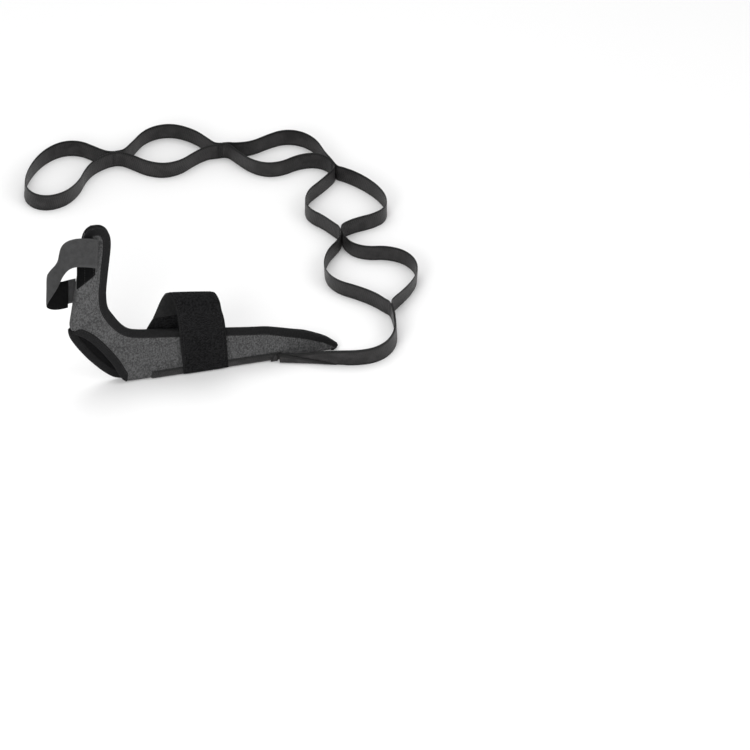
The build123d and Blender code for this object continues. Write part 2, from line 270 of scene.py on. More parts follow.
def fibre_group():
    """Fine mottling of yarn or pile, with slower patches."""
    group, t, given, put = new_group(
        "Fibre mottling",
        [("Vector", "NodeSocketVector", None), ("Scale", "NodeSocketFloat", 600.0),
         ("Stretch", "NodeSocketFloat", 1.0), ("Patches", "NodeSocketFloat", 0.3)],
        [("Mask", "NodeSocketFloat"), ("Height", "NodeSocketFloat")])
    scale = t.add("ShaderNodeCombineXYZ", 1.0, 1.0, given["Stretch"]).outputs[0]
    place = t.add("ShaderNodeVectorMath", given["Vector"], scale, operation="MULTIPLY").outputs[0]
    fine = t.add("ShaderNodeTexNoise", Vector=place, Scale=given["Scale"], Detail=3.0, Roughness=0.65)
    fine = fine.outputs[0]
    slow = t.add("ShaderNodeTexNoise", Vector=given["Vector"], Scale=28.0, Detail=2.0).outputs[0]
    spread = t.add("ShaderNodeMapRange", fine, 0.40, 0.60, 0.0, 1.0).outputs[0]
    patch = t.maths("MULTIPLY", t.maths("SUBTRACT", slow, 0.5), given["Patches"])
    both = t.add("ShaderNodeMath", t.maths("ADD", spread, patch), 0.0, operation="ADD", use_clamp=True)
    t.put(put["Mask"], both.outputs[0])
    t.put(put["Height"], fine)
    return group


def edge_group():
    """A tint near both edges of a band, from its UV map: paler, smoother selvedges on some bands, painted
    shade along the webbing's edges.
    """
    group, t, given, put = new_group(
        "Selvedge and painted shade",
        [("UV", "NodeSocketVector", None), ("Width", "NodeSocketFloat", 0.07),
         ("Margin", "NodeSocketFloat", 0.003)],
        [("Mask", "NodeSocketFloat")])
    across = t.add("ShaderNodeSeparateXYZ", given["UV"]).outputs[1]
    inner = t.maths("MINIMUM", across, t.maths("SUBTRACT", given["Width"], across))
    soft = t.maths("MULTIPLY", given["Margin"], 1.7)
    t.put(put["Mask"], t.add("ShaderNodeMapRange", inner, given["Margin"], soft, 1.0, 0.0).outputs[0])
    return group


def group_node(t, name, **values):
    """A node that uses a shader group, with its inputs set by name."""
    node = t.tree.nodes.new("ShaderNodeGroup")
    node.node_tree = bpy.data.node_groups[name]
    for key, value in values.items():
        t.put(node.inputs[key.replace("_", " ")], value)
    return node.outputs


def cloth_material(name, dark, light, weave, fibre, selvedge_and_painted_shade=None, roughness=0.8, sheen=0.25, bump=0.0004,
                   fibre_bump=0.5, sheen_rough=0.5, contrast=0.35, specular=0.35):
    """A woven or knitted cloth: weave = yarns along, across and twill; fibre = scale, stretch and patches."""
    material = bpy.data.materials.new(name + "_finish")
    FINISHES[name] = material
    material.use_nodes = True
    t = Tree(material.node_tree)
    shader = material.node_tree.nodes["Principled BSDF"]
    uv = t.add("ShaderNodeUVMap", uv_map="Cloth").outputs[0]
    place = t.add("ShaderNodeTexCoord").outputs["Object"]
    woven = group_node(t, "Woven yarns", UV=uv, Yarns_along=weave[0], Yarns_across=weave[1], Twill=weave[2])
    mottled = group_node(t, "Fibre mottling", Vector=place, Scale=fibre[0], Stretch=fibre[1],
                         Patches=fibre[2])
    share = t.add("ShaderNodeMix", contrast, None, mottled["Mask"], woven["Crossing"], data_type="FLOAT")
    tint = t.mix(share.outputs[0], (*dark, 1), (*light, 1))
    # A tint along both edges: paler selvedges on the pile and the ankle band, painted shade on the webbing's
    # edges.
    if selvedge_and_painted_shade:
        edge = group_node(t, "Selvedge and painted shade", UV=uv, Width=selvedge_and_painted_shade[0], Margin=selvedge_and_painted_shade[1])
        tint = t.mix(edge["Mask"], tint, (*selvedge_and_painted_shade[2], 1))
    t.put(shader.inputs["Base Color"], tint)
    height = t.maths("ADD", woven["Height"], t.maths("MULTIPLY", mottled["Height"], fibre_bump))
    knot = t.add("ShaderNodeBump", Height=height, Distance=bump, Strength=1.0)
    t.put(shader.inputs["Normal"], knot.outputs[0])
    low, high = roughness - 0.08, roughness + 0.08
    rough = t.add("ShaderNodeMapRange", mottled["Mask"], 0.0, 1.0, low, high)
    t.put(shader.inputs["Roughness"], rough.outputs[0])
    shader.inputs["Sheen Weight"].default_value = sheen
    shader.inputs["Sheen Roughness"].default_value = sheen_rough
    shader.inputs["Specular IOR Level"].default_value = specular
    return material


def lighter(tint, times):
    """The light yarn of a cloth, from its dark one."""
    return [value * times for value in tint]


def make_materials():
    """Every cloth, tape, thread and pad finish."""
    c = colours()
    weave_group()
    fibre_group()
    edge_group()
    cloth_material("heather_fabric", c.fabric_dark, c.fabric_light, (170, 380, 0), (470, 0.75, 0.6),
                   roughness=1.0, sheen=0.03, bump=0.0006, fibre_bump=4.0, contrast=0.30, specular=0.06)
    cloth_material("lining", (0.003, 0.003, 0.0033), (0.009, 0.009, 0.0094), (400, 400, 0.5), (300, 1, 0.3),
                   roughness=0.9, sheen=0.01, bump=0.0005, specular=0.05)
    cloth_material("binding_tape", c.tape, lighter(c.tape, 3.5), (420, 190, 0), (300, 1, 0.5),
                   roughness=0.8, sheen=0.02, bump=0.0008, contrast=0.5, specular=0.1)
    # The webbing's darker edges are painted shade, which leaves its middle looking like a sheened lane.
    cloth_material("webbing", c.webbing, lighter(c.webbing, 4.5), (330, 160, 0.5), (60, 1.5, 0.9),
                   roughness=0.45, sheen=0.04, bump=0.0006, contrast=0.3, sheen_rough=0.4, specular=0.3,
                   selvedge_and_painted_shade=(0.025, 0.0022, (0.004, 0.004, 0.004)))
    cloth_material("loop_pile", c.pile, lighter(c.pile, 6), (220, 220, 0), (380, 1, 0.5),
                   roughness=1.0, sheen=0.03, bump=0.0010, fibre_bump=8.0, contrast=0.05, specular=0.03,
                   selvedge_and_painted_shade=(0.067, 0.0016, (0.016, 0.016, 0.0165)))
    cloth_material("strap_back", (0.006, 0.006, 0.0062), (0.020, 0.020, 0.0205), (600, 160, 0),
                   (300, 1, 0.5), roughness=0.65, sheen=0.03, bump=0.0004, specular=0.15)
    cloth_material("strap_band", c.band, lighter(c.band, 2.2), (500, 210, 0), (160, 1, 0.5),
                   roughness=0.55, sheen=0.05, bump=0.0008, contrast=0.5, specular=0.2,
                   selvedge_and_painted_shade=(0.047, 0.0016, (0.05, 0.05, 0.051)))
    cloth_material("band_back", (0.002, 0.002, 0.0022), (0.006, 0.006, 0.0063), (400, 400, 0.5),
                   (400, 1, 0.4), roughness=1.0, sheen=0.01, bump=0.0006, specular=0.03)
    cloth_material("thread", (0.006, 0.006, 0.006), (0.03, 0.03, 0.031), (900, 900, 1), (700, 1, 0.3),
                   roughness=0.45, sheen=0.02, bump=0.0001, specular=0.3)
    cloth_material("hook_pad", (0.005, 0.005, 0.005), (0.016, 0.016, 0.0165), (700, 700, 0), (300, 1, 0.2),
                   roughness=0.45, sheen=0.0, bump=0.0006, contrast=0.8, specular=0.3)


# ---- mesh helpers ----
def link(obj):
    """Puts an object in the scene."""
    bpy.context.scene.collection.objects.link(obj)
    return obj


def surface(name, grid, uv, wrap=False, caps=False, keep=None, slots=("webbing",), slot_of=None):
    """A skin over a grid of points. wrap joins the last column to the first, caps closes both ends."""
    grid = np.asarray(grid, float)
    rows, cols = grid.shape[:2]
    faces, corners, slot_numbers = [], [], []
    for i in range(rows - 1):
        for j in range(cols if wrap else cols - 1):
            if keep is not None and not keep(i, j):
                continue
            k = (j + 1) % cols
            faces.append((i * cols + j, i * cols + k, (i + 1) * cols + k, (i + 1) * cols + j))
            corners += [uv[i][j], uv[i][j + 1], uv[i + 1][j + 1], uv[i + 1][j]]
            slot_numbers.append(slot_of(j) if slot_of else 0)
    if caps:
        for row, order in ((0, range(cols - 1, -1, -1)), (rows - 1, range(cols))):
            faces.append(tuple(row * cols + j for j in order))
            corners += [uv[row][j] for j in order]
            slot_numbers.append(0)
    mesh = bpy.data.meshes.new(name)
    mesh.from_pydata(grid.reshape(-1, 3).tolist(), [], faces)
    layer = mesh.uv_layers.new(name="Cloth")
    layer.data.foreach_set("uv", np.array(corners, float).ravel())
    mesh.polygons.foreach_set("use_smooth", [True] * len(faces))
    mesh.polygons.foreach_set("material_index", slot_numbers)
    for slot in slots:
        mesh.materials.append(FINISHES[slot])
    if wrap and caps and signed_volume(mesh) < 0:
        mesh.flip_normals()
    mesh.update()
    return link(bpy.data.objects.new(name, mesh))


def signed_volume(mesh):
    """Volume inside a mesh, negative where its faces point inwards."""
    mesh.calc_loop_triangles()
    co = np.array([v.co for v in mesh.vertices])
    tri = np.array([t.vertices for t in mesh.loop_triangles])
    a, b, c = co[tri[:, 0]], co[tri[:, 1]], co[tri[:, 2]]
    return float(np.einsum("ij,ij->i", a, np.cross(b, c)).sum() / 6)


def run_lengths(points):
    """Length along a line up to each of its points."""
    steps = np.linalg.norm(np.diff(points, axis=0), axis=1)
    return np.concatenate([[0], np.cumsum(steps)])


def resampled(points, count, soft=0.0):
    """The same line at even spacing, its corners softened over a number of rows."""
    points = np.asarray(points, float)
    at = run_lengths(points)
    even = np.linspace(0, at[-1], count)
    line = np.stack([np.interp(even, at, points[:, k]) for k in range(points.shape[1])], 1)
    return softened(line, soft) if soft else line


def softened(line, rows):
    """The line with its corners rounded over some rows."""
    reach = int(rows * 3) + 1
    weights = np.exp(-0.5 * (np.arange(-reach, reach + 1) / rows) ** 2)
    weights /= weights.sum()
    padded = np.concatenate([2 * line[:1] - line[reach:0:-1], line, 2 * line[-1:] - line[-2:-reach - 2:-1]])
    return np.stack([np.convolve(padded[:, k], weights, "valid") for k in range(line.shape[1])], 1)


def directions(line):
    """Unit direction of a line at each of its points."""
    d = np.gradient(line, axis=0)
    return d / np.linalg.norm(d, axis=1, keepdims=True)


def spline_line(points, steps=12):
    """Points read from the smooth line that has these control points."""
    data = bpy.data.curves.new("route", "CURVE")
    data.dimensions = "3D"
    data.resolution_u = steps
    spline = data.splines.new("NURBS")
    spline.points.add(len(points) - 1)
    for point, at in zip(spline.points, points):
        point.co = (*at, 1)
    spline.order_u = 3
    spline.use_endpoint_u = True
    obj = link(bpy.data.objects.new("route", data))
    bpy.context.view_layer.update()
    mesh = bpy.data.meshes.new_from_object(obj.evaluated_get(bpy.context.evaluated_depsgraph_get()))
    line = np.array([v.co for v in mesh.vertices], float)
    bpy.data.objects.remove(obj)
    bpy.data.curves.remove(data)
    bpy.data.meshes.remove(mesh)
    return line


def thick_band(name, grid, thick, slots, edge=0.35, ends=True):
    """A closed band over a grid of points, with thin rounded edges. Its outside takes the first slot."""
    grid = np.asarray(grid, float)
    along = np.gradient(grid, axis=0)
    across = np.gradient(grid, axis=1)
    normal = np.cross(along, across)
    normal /= np.linalg.norm(normal, axis=2, keepdims=True)
    cols = grid.shape[1]
    half = np.full(cols, thick / 2)
    half[[0, -1]] *= edge
    half[[1, -2]] *= 0.85
    half = half[None, :, None]
    if ends:
        taper = np.ones(len(grid))
        taper[[0, -1]] = 0.5
        half = half * taper[:, None, None]
    ring = np.concatenate([grid + normal * half, (grid - normal * half)[:, ::-1]], axis=1)
    u = run_lengths(grid[:, cols // 2])
    v = np.array([run_lengths(row) for row in grid])
    v = np.concatenate([v, v[:, ::-1], v[:, :1]], axis=1)
    uv = [[(u[i], v[i][j]) for j in range(v.shape[1])] for i in range(len(grid))]
    return surface(name, ring, uv, wrap=True, caps=True, slots=slots,
                   slot_of=lambda j: 0 if j < cols else len(slots) - 1)


def plain_mesh(obj, name):
    """What an object looks like with its modifiers, as a new object with none."""
    mesh = bpy.data.meshes.new_from_object(obj.evaluated_get(bpy.context.evaluated_depsgraph_get()))
    mesh.name = name
    bpy.data.objects.remove(obj)
    return link(bpy.data.objects.new(name, mesh))


def settle(piece, body, nodes=()):
    """A piece moves with one body and stands in for these CAD nodes."""
    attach(piece, body)
    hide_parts(*nodes)
    return piece


# ---- webbing on edge ----
def web_profile(height, fold):
    """The middle of the webbing's section, from the top edge down. What is taller folds up beside it."""
    distance = np.linspace(0, WEB_WIDTH, 19)
    rise = np.abs(distance - height)
    spare = np.clip((WEB_WIDTH - height) / 0.003, 0, 1)
    beside_it = fold * WEB_THICK * 1.15 * np.clip((distance - height) / 0.0012, 0, 1) * spare
    return distance, np.stack([beside_it, rise + WEB_THICK / 2 * spare], 1)


def web_band(name, line, body, lean_seed, heights=None, fold=0.0, nodes=()):
    """Webbing standing on its edge along a line at half its width, leaning a little as it lies."""
    rows = len(line)
    run = run_lengths(line)
    tangent = directions(line)
    side = np.cross(tangent, UP)
    side /= np.linalg.norm(side, axis=1, keepdims=True)
    total = run[-1]
    ends = np.clip(np.minimum(run, total - run) / 0.03, 0, 1) ** 2
    slow = 0.6 * np.sin(run / total * 2 * math.pi + lean_seed)
    quick = 0.4 * np.sin(run / 0.045 + 2 * lean_seed)
    lean = sizes().lean * ends * (slow + quick)
    ring_rows, uv = [], []
    for i in range(rows):
        height = WEB_WIDTH if heights is None else heights[i]
        distance, middle = web_profile(height, fold)
        step = np.gradient(middle, axis=0)
        step /= np.maximum(np.linalg.norm(step, axis=1, keepdims=True), 1e-9)
        out = np.stack([-step[:, 1], step[:, 0]], 1)
        half = np.full(len(distance), WEB_THICK / 2)
        half[[0, -1]] *= 0.4
        half[[1, -2]] *= 0.92
        ring = np.concatenate([middle + out * half[:, None], (middle - out * half[:, None])[::-1]])
        c, s = math.cos(lean[i]), math.sin(lean[i])
        x = ring[:, 0] * c + ring[:, 1] * s
        z = np.maximum(ring[:, 1] * c - ring[:, 0] * s, 0.0)
        foot = np.array((line[i][0], line[i][1], 0.0))
        ring_rows.append(foot + x[:, None] * side[i] + z[:, None] * UP)
        v = np.concatenate([distance, distance[::-1], distance[:1]])
        uv.append([(run[i], w) for w in v])
    band = settle(surface(name, ring_rows, uv, wrap=True, caps=True), body, nodes)
    middle = [tuple(p) for p in line]


def beside(bar, direction, along, across):
    """A point on the floor that is along and to the left of a direction from a bar."""
    size = math.hypot(*direction)
    dx, dy = direction[0] / size, direction[1] / size
    return (bar[0] + dx * along - dy * across, bar[1] + dy * along + dx * across)


def strand_points(root, tip, left_at_root, left_at_tip, middle):
    """A strand's points from one sewn bar to the next."""
    out = OUTWARDS[root]
    back = (-OUTWARDS[tip][0], -OUTWARDS[tip][1])
    root_side = LAYER_SIDE if left_at_root else -LAYER_SIDE
    tip_side = LAYER_SIDE if left_at_tip else -LAYER_SIDE
    points = [beside(BARS[root], out, BAR_EDGE, root_side), beside(BARS[root], out, BAR_REACH, root_side),
              *middle,
              beside(BARS[tip], back, BAR_REACH, tip_side), beside(BARS[tip], back, BAR_EDGE, tip_side)]
    return [(x, y, WEB_WIDTH / 2) for x, y in points]


def build_loops():
    """The nine strands of the five loops."""
    for number, (name, (root, tip, at_root, at_tip, middle)) in enumerate(STRANDS.items()):
        line = spline_line(strand_points(root, tip, at_root, at_tip, middle))
        web_band(name + "_web", line, f"loop_{root}", 1.3 * number, nodes=[name])
    out = OUTWARDS[1]
    points = [beside(BARS[1], out, BAR_EDGE, -LAYER_SIDE), beside(BARS[1], out, BAR_REACH, -LAYER_SIDE),
              *LOOP_1_END,
              beside(BARS[1], out, BAR_REACH, LAYER_SIDE), beside(BARS[1], out, BAR_EDGE, LAYER_SIDE)]
    line = spline_line([(x, y, WEB_WIDTH / 2) for x, y in points])
    web_band("loop_1_end_web", line, "loop_1", 0.4, nodes=["loop_1_end"])


def shifted(points, distance):
    """The same route moved to its left."""
    moved = []
    for i, at in enumerate(points):
        before, after = points[max(i - 1, 0)], points[min(i + 1, len(points) - 1)]
        moved.append(beside(at, (after[0] - before[0], after[1] - before[1]), 0.0, distance))
    return moved


def build_tail():
    """Two layers of webbing from the toe to the first sewn bar; the sling's own end is folded in half."""
    heading = (TAIL_ROUTE[0][0] - TAIL_BAR[0], TAIL_ROUTE[0][1] - TAIL_BAR[1])
    back = (-OUTWARDS[5][0], -OUTWARDS[5][1])
    route = [beside(TAIL_BAR, heading, 0.0004, 0), *TAIL_ROUTE,
             beside(BARS[5], back, BAR_REACH, 0), beside(BARS[5], back, BAR_EDGE, 0)]
    for name, offset, seed in (("tail_inner", LAYER_SIDE, 0.0), ("tail_outer", -LAYER_SIDE, 0.15)):
        line = spline_line([(x, y, WEB_WIDTH / 2) for x, y in shifted(route, offset)])
        rise = np.clip((line[:, 0] - TAIL_BAR[0]) / 0.095, 0, 1)
        heights = TAIL_FOLDED + (WEB_WIDTH - TAIL_FOLDED) * rise * rise * (3 - 2 * rise)
        fold = -1.0 if name == "tail_inner" else 1.0
        web_band(name + "_web", line, "tail", seed, heights=heights, fold=fold, nodes=[name + "_webbing"])


# ---- the sling ----
def sling_rows(count=300):
    """Even rows along the L: lower edges and bound edges of both walls, and which rows have the heel open."""
    table = np.array([[*near, *far, *top] for near, far, top in STATIONS])
    middle = (table[:, 0:2] + table[:, 4:6]) / 2
    at = run_lengths(middle)
    even = np.linspace(0, at[-1], count)
    lines = softened(np.stack([np.interp(even, at, table[:, k]) for k in range(6)], 1), 2.4)
    share = even / even[-1]
    drop = FAR_DROP * np.clip(share / 0.12, 0, 1) * np.clip((0.66 - share) / 0.10, 0, 1)
    across = lines[:, 2:4] - lines[:, 4:6]
    across /= np.linalg.norm(across, axis=1, keepdims=True)
    lines = np.concatenate([lines, lines[:, 4:6] + across * drop[:, None]], 1)
    opened = (even > at[FIRST_RIM]) & (even < at[LAST_RIM])
    return lines, opened, even


def wall_half(row, share, depth_share, side):
    """How far a wall stands from the middle plane, with the pinch at the toe and slow waves of soft cloth."""
    pinch = np.clip(share / 0.10, 0, 1)
    half = WALL_MIDDLE * (0.5 + 0.5 * pinch * (2 - pinch))
    wave = 0.0007 * math.sin(row * 0.051 + side) + 0.0004 * math.sin(row * 0.13 + 2.1 * side)
    close = 1 - 0.44 * depth_share * (1 - 0.5 * np.clip((share - 0.5) / 0.2, 0, 1))
    tip = 1 - 0.42 * np.clip((share - 0.84) / 0.12, 0, 1)
    return max(half * close * tip, MIN_HALF * (0.6 + 0.4 * pinch)) + wave * depth_share * pinch * tip


def build_sling():
    """The laminate: two walls joined by a fold under the foot and another up the back of the ankle."""
    lines, opened, even = sling_rows()
    wall_cols, corner, flat = 22, 4, 3
    radius = 0.0026
    grid, uv = [], []
    for i, line in enumerate(lines):
        share = even[i] / even[-1]
        near, far, near_top, far_top = line[0:2], line[2:4], line[4:6], line[6:8]
        row, across = [], []
        lift = 0.0 if opened[i] else 0.0019
        for side, low, top in ((-1, near, near_top), (1, far, far_top)):
            reach = np.linalg.norm(top - low)
            inward = (top - low) / reach
            low = low + inward * lift
            reach -= lift
            r = min(radius, reach * 0.4) if not opened[i] else 0.0
            column = []
            for j in range(wall_cols):
                d = reach + (r - reach) * j / (wall_cols - 1)
                x, z = low + inward * d
                y = wall_half(i, share, d / reach if reach > 0 else 0, side)
                column.append((x, side * y, z))
            row.append(column)
            across.append([reach * (1 - j / (wall_cols - 1)) for j in range(wall_cols)])
        reach = np.linalg.norm(near_top - near)
        inward = (near_top - near) / reach
        base = near + inward * lift
        half = wall_half(i, share, 0, -1)
        r = min(radius, reach * 0.4, half * 0.8)
        fold = []
        for k in range(1, corner + 1):
            angle = math.pi / 2 * k / corner
            d, y = r - r * math.sin(angle), -(half - r) - r * math.cos(angle)
            fold.append((base[0] + inward[0] * d, y, base[1] + inward[1] * d))
        for k in range(1, flat):
            y = -(half - r) + 2 * (half - r) * k / flat
            fold.append((base[0], y, base[1]))
        fold += [(x, -y, z) for x, y, z in fold[:corner][::-1]]
        points = row[0] + fold + row[1][::-1]
        grid.append(points)
        near_up = across[0][0]
        v = [near_up - a for a in across[0]]
        v += [near_up + 0.002 * (k + 1) for k in range(len(fold))]
        v += [v[-1] + 0.002 + across[1][wall_cols - 1 - j] for j in range(wall_cols)]
        uv.append([(even[i], w) for w in v])
    fold_from, fold_to = wall_cols - 1, wall_cols + 2 * corner + flat - 1
    def closed(i, j):
        """True where the sling keeps this face."""
        return not (fold_from <= j < fold_to and (opened[i] or opened[i + 1]))
    skin = surface("sling_laminate", grid, uv, keep=closed, slots=("heather_fabric", "lining"))
    co = np.array([v.co for v in skin.data.vertices])
    face = skin.data.polygons[5]
    if (face.normal.y > 0) != (co[face.vertices[0]][1] > 0):
        skin.data.flip_normals()
    shell = skin.modifiers.new("Thickness", "SOLIDIFY")
    shell.thickness, shell.offset = sizes().wall, 0.0
    shell.material_offset, shell.material_offset_rim = 1, 1
    bpy.context.view_layer.update()
    sling = plain_mesh(skin, "sling_laminate")
    sling.data.polygons.foreach_set("use_smooth", [True] * len(sling.data.polygons))
    layers = ("outer_fabric", "foam", "lining")
    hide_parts(*(f"{half}_{layer}" for half in ("sole", "cuff") for layer in layers))
    bend(sling)


def bend(obj):
    """Bakes the object's placement into its mesh; it does not bend the cloth beside the heel opening."""
    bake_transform(obj)


def edge_tape(name, edge, middle_y, towards, depth, taper=0.0):
    """A tape folded over an edge: edge has X and Z, towards says which way the cloth lies."""
    tangent = directions(edge)
    inward = np.stack([-tangent[:, 1], tangent[:, 0]], 1)
    flip = np.sign(np.einsum("ij,ij->i", inward, towards))
    inward *= flip[:, None]
    run = run_lengths(edge)
    half = sizes().wall / 2
    section = [(-0.0013, 0.0), (-0.0011, 0.45), (-0.0003, 0.86), (0.0012, 1.04),
               (0.45, 1.1), (0.8, 1.06), (0.97, 0.95), (1.0, 0.6)]
    ring = []
    for d, y in section:
        ring.append((d if d < 0.01 else d * depth, y))
    ring = ring + [(d, -y) for d, y in ring[::-1][:-1]]
    rows, uv = [], []
    for i in range(len(edge)):
        pucker = 1 + 0.035 * math.sin(run[i] / 0.0042 * 2 * math.pi)
        row = []
        room = min(run[i], run[-1] - run[i])
        narrow = 1 - taper * (1 - min(room / 0.012, 1)) ** 2
        for d, y in ring:
            x, z = edge[i] + inward[i] * d * narrow
            row.append((x, middle_y[i] + y * (half + 0.0009) * (pucker if d > 0.002 else 1), max(z, 0.0004)))
        rows.append(row)
        around = run_lengths(np.array(row + row[:1]))
        uv.append([(run[i], w) for w in around])
    return surface(name, rows, uv, wrap=True, caps=True, slots=("binding_tape",)), inward


def build_binding():
    """Tape round the inside of the L and its tip and round both rims of the heel opening, sewn on."""
    lines, opened, even = sling_rows()
    depth = sizes().tape
    seams = []
    for side, label in ((-1, "near"), (1, "far")):
        low = lines[:, 0:2] if side < 0 else lines[:, 2:4]
        top = lines[:, 4:6] if side < 0 else lines[:, 6:8]
        share = even / even[-1]
        top_y = np.array([side * wall_half(i, share[i], 1, side) for i in range(len(lines))])
        low_y = np.array([side * wall_half(i, share[i], 0, side) for i in range(len(lines))])
        tip = resampled(np.array([top[-1], *TIP_END]), 22, 1.0)[1:]
        edge = np.concatenate([top, tip])
        towards = np.concatenate([low - top, np.array(TIP_MIDDLE) - tip])
        y = np.concatenate([top_y, np.full(len(tip), top_y[-1])])
        edge = softened(edge, 2.0)
        tape, inward = edge_tape(f"inner_edge_tape_{label}", edge, y, towards, depth)
        bodies = ["sole_edge_binding", "cuff_edge_binding"] if side < 0 else []
        finish_tape(tape, bodies)
        seams.append(seam_line(edge, inward, y, depth - 0.0019, side))
        rows = np.where(opened)[0]
        rows = np.arange(rows[0], rows[-1] + 1)
        rim, rim_towards, rim_y = low[rows], (top - low)[rows], low_y[rows]
        fine = len(rows) * 2
        both = resampled(np.concatenate([rim, rim_towards, rim_y[:, None]], 1), fine)
        rim = softened(both[:, 0:2], 1.5)
        tape, inward = edge_tape(f"heel_rim_tape_{label}", rim, both[:, 4], both[:, 2:4], depth, taper=0.75)
        finish_tape(tape, ["sole_heel_binding", "cuff_heel_binding"] if side < 0 else [])
        seams.append(seam_line(rim, inward, both[:, 4], depth - 0.0019, side))
    stitches = stitch_rows("binding_stitches", seams, sizes().stitch, 0.0041)
    bend(stitches)


def finish_tape(tape, nodes):
    """The near tape stands in for the CAD's tapes; each tape's placement is baked into its mesh."""
    if nodes:
        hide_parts(*nodes)
    bend(tape)


def seam_line(edge, inward, y, depth, side):
    """A row of stitches on the outer face of a tape."""
    out = sizes().wall / 2 + 0.00105
    flat = edge + inward * depth
    return np.stack([flat[:, 0], y + side * out, flat[:, 1]], 1)[6:-6]


# ---- stitches by geometry nodes ----
def stitch_tree():
    """Rounded threads at even spacing along every line of a mesh, turned along it or a given way."""
    tree = bpy.data.node_groups.new("Stitch row", "GeometryNodeTree")
    sockets = [("Geometry", "NodeSocketGeometry", None), ("Spacing", "NodeSocketFloat", 0.004),
               ("Stitch length", "NodeSocketFloat", 0.0027), ("Thread radius", "NodeSocketFloat", 0.0003),
               ("Across", "NodeSocketFloat", 0.0), ("Across direction", "NodeSocketVector", (0, 0, 1)),
               ("Thread", "NodeSocketMaterial", None)]
    for label, kind, value in sockets:
        socket = tree.interface.new_socket(name=label, in_out="INPUT", socket_type=kind)
        if value is not None:
            socket.default_value = value
    tree.interface.new_socket(name="Geometry", in_out="OUTPUT", socket_type="NodeSocketGeometry")
    t = Tree(tree)
    given = t.add("NodeGroupInput").outputs
    curve = t.add("GeometryNodeMeshToCurve", given["Geometry"]).outputs[0]
    spaced = t.add("GeometryNodeResampleCurve", curve, mode="LENGTH")
    t.put(spaced.inputs["Length"], given["Spacing"])
    tangent = t.add("GeometryNodeInputTangent").outputs[0]
    way = t.add("ShaderNodeMix", data_type="VECTOR")
    t.put(way.inputs[0], given["Across"])
    t.put(way.inputs[4], tangent)
    t.put(way.inputs[5], given["Across direction"])
    jitter = t.add("FunctionNodeRandomValue", data_type="FLOAT", Seed=7)
    jitter.inputs[2].default_value, jitter.inputs[3].default_value = 0.88, 1.08
    turned = t.add("FunctionNodeAlignRotationToVector", axis="Z")
    t.put(turned.inputs["Vector"], way.outputs[1])
    ball = t.add("GeometryNodeMeshIcoSphere", Subdivisions=1)
    t.put(ball.inputs["Radius"], 1.0)
    bead = t.add("GeometryNodeSetShadeSmooth", ball.outputs[0]).outputs[0]
    half = t.maths("MULTIPLY", t.maths("MULTIPLY", given["Stitch length"], 0.5), jitter.outputs[1])
    size = t.add("ShaderNodeCombineXYZ", given["Thread radius"], given["Thread radius"], half).outputs[0]
    placed = t.add("GeometryNodeInstanceOnPoints", spaced.outputs[0])
    t.put(placed.inputs["Instance"], bead)
    t.put(placed.inputs["Rotation"], turned.outputs[0])
    t.put(placed.inputs["Scale"], size)
    real = t.add("GeometryNodeRealizeInstances", placed.outputs[0]).outputs[0]
    done = t.add("GeometryNodeSetMaterial", real)
    t.put(done.inputs["Material"], given["Thread"])
    t.add("NodeGroupOutput", done.outputs[0])
    return tree


def stitch_rows(name, lines, length, spacing, across=None, radius=None):
    """One mesh of stitches along these lines."""
    tree = bpy.data.node_groups.get("Stitch row") or stitch_tree()
    verts, edges = [], []
    for line in lines:
        first = len(verts)
        verts += [tuple(p) for p in line]
        edges += [(first + k, first + k + 1) for k in range(len(line) - 1)]
    mesh = bpy.data.meshes.new(name + "_lines")
    mesh.from_pydata(verts, edges, [])
    obj = link(bpy.data.objects.new(name + "_lines", mesh))
    modifier = obj.modifiers.new("Stitches", "NODES")
    modifier.node_group = tree
    values = {"Spacing": spacing, "Stitch length": length, "Thread radius": radius or sizes().thread,
              "Across": 0.0 if across is None else 1.0, "Across direction": across or (0.0, 0.0, 1.0),
              "Thread": FINISHES["thread"]}
    for item in tree.interface.items_tree:
        if item.in_out == "INPUT" and item.name in values:
            modifier[item.identifier] = values[item.name]
    obj.update_tag()
    bpy.context.view_layer.update()
    made = plain_mesh(obj, name)
    if not made.data.polygons:
        raise RuntimeError(f"{name}: no stitches were made")
    return made


def ride_stitches(name, lines, length, spacing, body, nodes=(), across=None, radius=None):
    """Stitches that move with one body."""
    settle(stitch_rows(name, lines, length, spacing, across, radius), body, nodes)


def bar_lines(bar, direction, offsets, reach=0.0019):
    """Upright lines on both faces of the doubled webbing."""
    lines = []
    for along in offsets:
        for side in (-1, 1):
            x, y = beside(bar, direction, along, side * reach)
            lines.append([(x, y, 0.002), (x, y, 0.023)])
    return lines


def satin(name, lines, body, node, way):
    """Close stitches that lie across the webbing."""
    ride_stitches(name, lines, 0.0029, 0.00072, body, [node], across=way, radius=0.00034)


def build_bar_tacks():
    """Close satin stitches across the webbing at every sewn bar."""
    for number, bar in BARS.items():
        size = math.hypot(*OUTWARDS[number])
        way = (OUTWARDS[number][0] / size, OUTWARDS[number][1] / size, 0.0)
        lines = bar_lines(bar, way[:2], (0.0032, 0.0064))
        satin(f"loop_{number}_tack_threads", lines, f"loop_{number}", f"loop_{number}_bar_tack", way)
    heading = (TAIL_ROUTE[0][0] - TAIL_BAR[0], TAIL_ROUTE[0][1] - TAIL_BAR[1])
    size = math.hypot(*heading)
    way = (heading[0] / size, heading[1] / size, 0.0)
    lines = []
    for line in bar_lines(TAIL_BAR, way[:2], (0.0055, 0.0085), 0.0020)[::2]:
        lines.append([line[0], (line[1][0], line[1][1], 0.0120)])
    satin("tail_tack_threads", lines, "tail", "tail_bar_tack", way)


